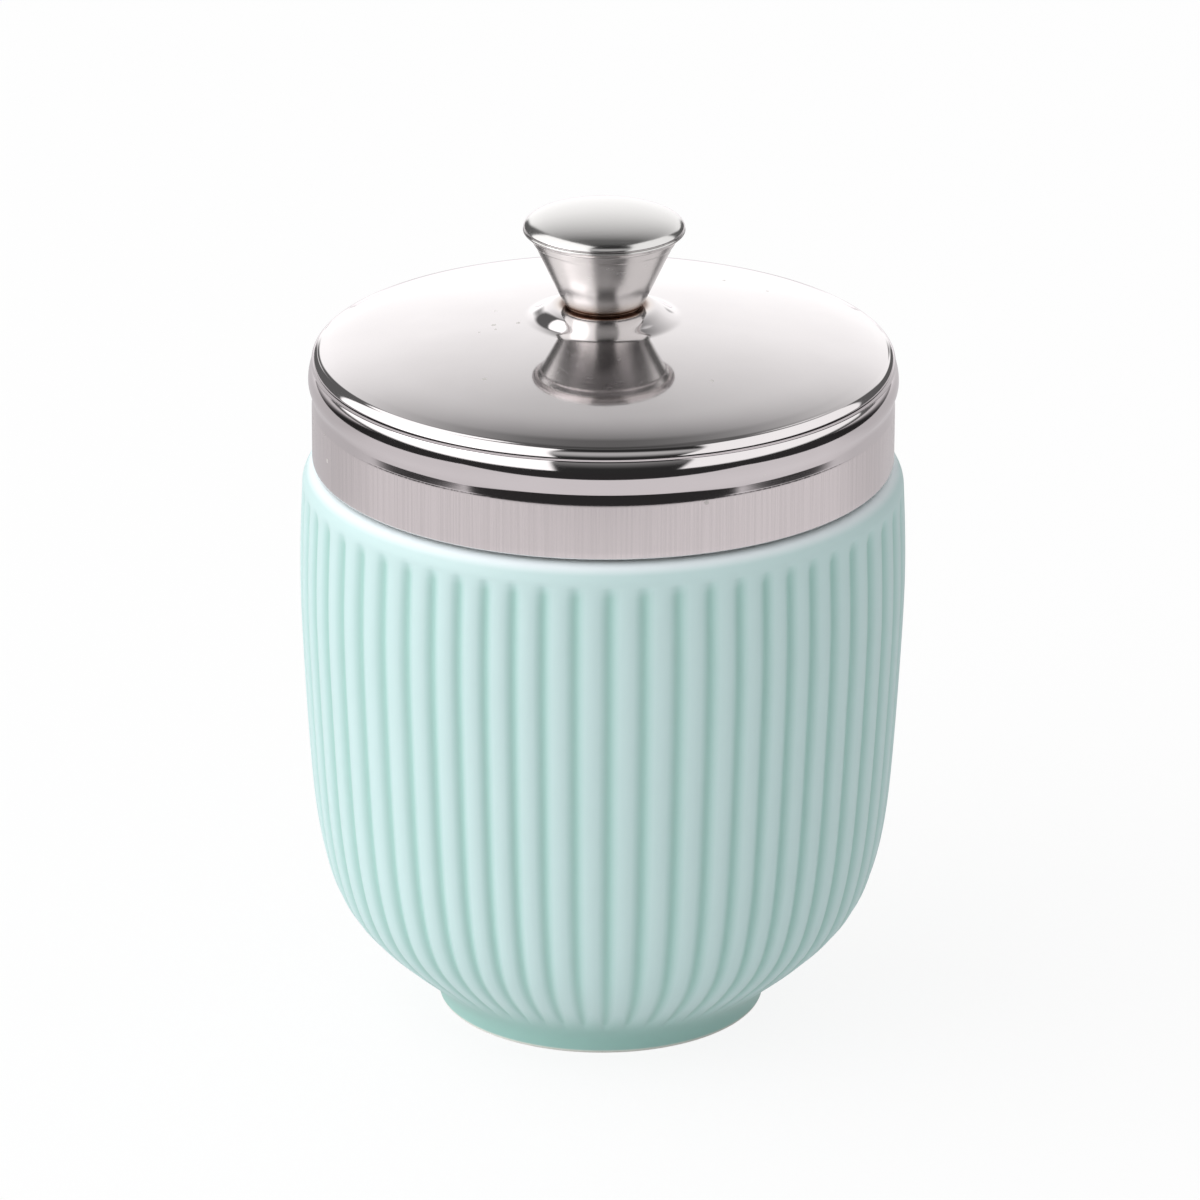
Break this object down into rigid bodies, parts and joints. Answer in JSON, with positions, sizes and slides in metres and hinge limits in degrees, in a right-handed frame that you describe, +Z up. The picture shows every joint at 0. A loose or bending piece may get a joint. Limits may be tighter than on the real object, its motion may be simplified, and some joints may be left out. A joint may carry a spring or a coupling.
{
  "type": "porcelain egg coddler",
  "caption": "Fluted porcelain cup with a narrow foot, closed by a domed screw-on steel lid with an upturned cone knob.",
  "frame": {"origin": "centre of the foot's rest plane", "axes": "+Z up along the turning axis of cup and lid"},
  "size_m": [0.065, 0.065, 0.0899],
  "materials": {
    "glazed_porcelain": "mint glaze over white porcelain, bare on the foot's rest ring",
    "silicone": "soft matt silicone",
    "polished_steel": "polished stainless steel, satin drawn skirt",
    "inner_steel": "plain rolled stainless steel",
    "knob_steel": "polished stainless steel with fine turning lines"
  },
  "bodies": {
    "cup": {"cup": "glazed_porcelain"},
    "seal": {"seal_ring": "silicone"},
    "lid": {"lid_shell": "polished_steel", "thread_ring": "inner_steel", "knob_cone": "knob_steel", "knob_cap": "knob_steel"}
  },
  "joints": [
    {"name": "lid_rise", "type": "slide", "parent": "cup", "child": "seal", "axis": [0, 0, 1], "range_m": [0, 0.016]},
    {"name": "lid_turn", "type": "hinge", "parent": "seal", "child": "lid", "pos_m": [0, 0, 0.0725], "axis": [0, 0, 1], "range_deg": [0, 1440]}
  ],
  "couplings": [
    {"joint": "lid_rise", "follows": "lid_turn", "m_per_rad": 0.00063662}
  ]
}
